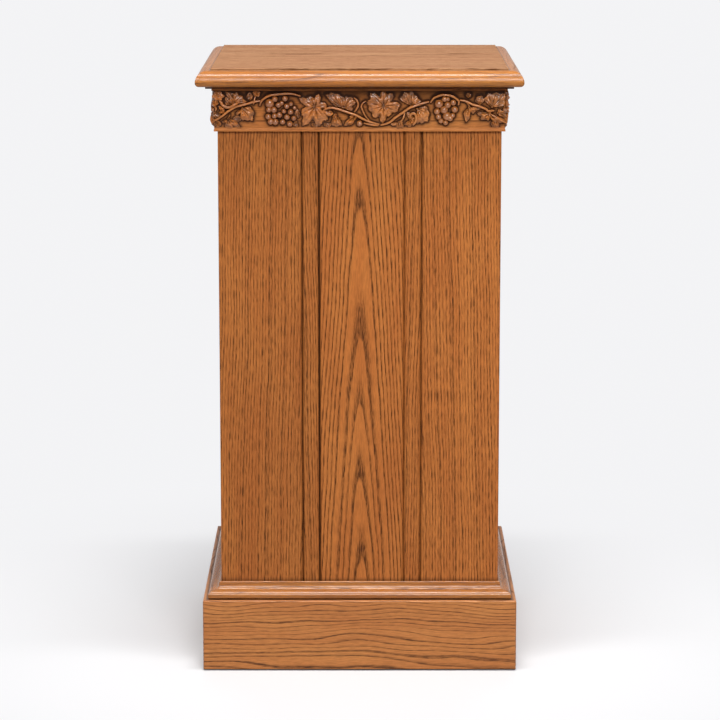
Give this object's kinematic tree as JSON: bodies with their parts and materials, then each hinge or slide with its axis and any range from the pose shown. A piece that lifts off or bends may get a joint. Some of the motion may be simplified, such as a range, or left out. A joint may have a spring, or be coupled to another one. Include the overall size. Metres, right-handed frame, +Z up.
{
  "type": "plant stand",
  "caption": "Tall square oak plant stand: boarded column with v-joints on a plinth, carved grapevine frieze and a moulded top with a raised field to set a pot on.",
  "frame": {"origin": "middle of the footprint, on the floor under the glides", "axes": "+Z up; the front face looks along -Y and +X is to the right of a person facing the front"},
  "size_m": [0.4128, 0.4128, 0.7808],
  "materials": {
    "oak_boards": "satin varnish",
    "oak_plinth": "satin varnish",
    "oak_moulding": "satin varnish",
    "oak_top": "satin varnish",
    "oak_frieze": "satin varnish",
    "inner_wood": "bare, planed",
    "zinc_steel": "zinc plated",
    "nickel_steel": "nickel plated"
  },
  "bodies": {
    "root": {"front_stile_left": "oak_boards", "front_strip_left": "oak_boards", "front_panel": "oak_boards", "front_strip_right": "oak_boards", "front_stile_right": "oak_boards", "front_corner_post": "inner_wood", "front_top_cleat": "inner_wood", "front_bottom_cleat": "inner_wood", "front_plinth": "oak_plinth", "front_base_moulding": "oak_moulding", "front_top_edge": "oak_moulding", "front_frieze": "oak_frieze", "right_stile_left": "oak_boards", "right_strip_left": "oak_boards", "right_panel": "oak_boards", "right_strip_right": "oak_boards", "right_stile_right": "oak_boards", "right_corner_post": "inner_wood", "right_top_cleat": "inner_wood", "right_bottom_cleat": "inner_wood", "right_plinth": "oak_plinth", "right_base_moulding": "oak_moulding", "right_top_edge": "oak_moulding", "right_frieze": "oak_frieze", "back_stile_left": "oak_boards", "back_strip_left": "oak_boards", "back_panel": "oak_boards", "back_strip_right": "oak_boards", "back_stile_right": "oak_boards", "back_corner_post": "inner_wood", "back_top_cleat": "inner_wood", "back_bottom_cleat": "inner_wood", "back_plinth": "oak_plinth", "back_base_moulding": "oak_moulding", "back_top_edge": "oak_moulding", "back_frieze": "oak_frieze", "left_stile_left": "oak_boards", "left_strip_left": "oak_boards", "left_panel": "oak_boards", "left_strip_right": "oak_boards", "left_stile_right": "oak_boards", "left_corner_post": "inner_wood", "left_top_cleat": "inner_wood", "left_bottom_cleat": "inner_wood", "left_plinth": "oak_plinth", "left_base_moulding": "oak_moulding", "left_top_edge": "oak_moulding", "left_frieze": "oak_frieze", "sub_top": "oak_moulding", "top_panel": "oak_top", "bottom_board": "inner_wood", "top_screws": "zinc_steel", "plinth_screws": "zinc_steel", "glides": "nickel_steel"}
  },
  "joints": []
}
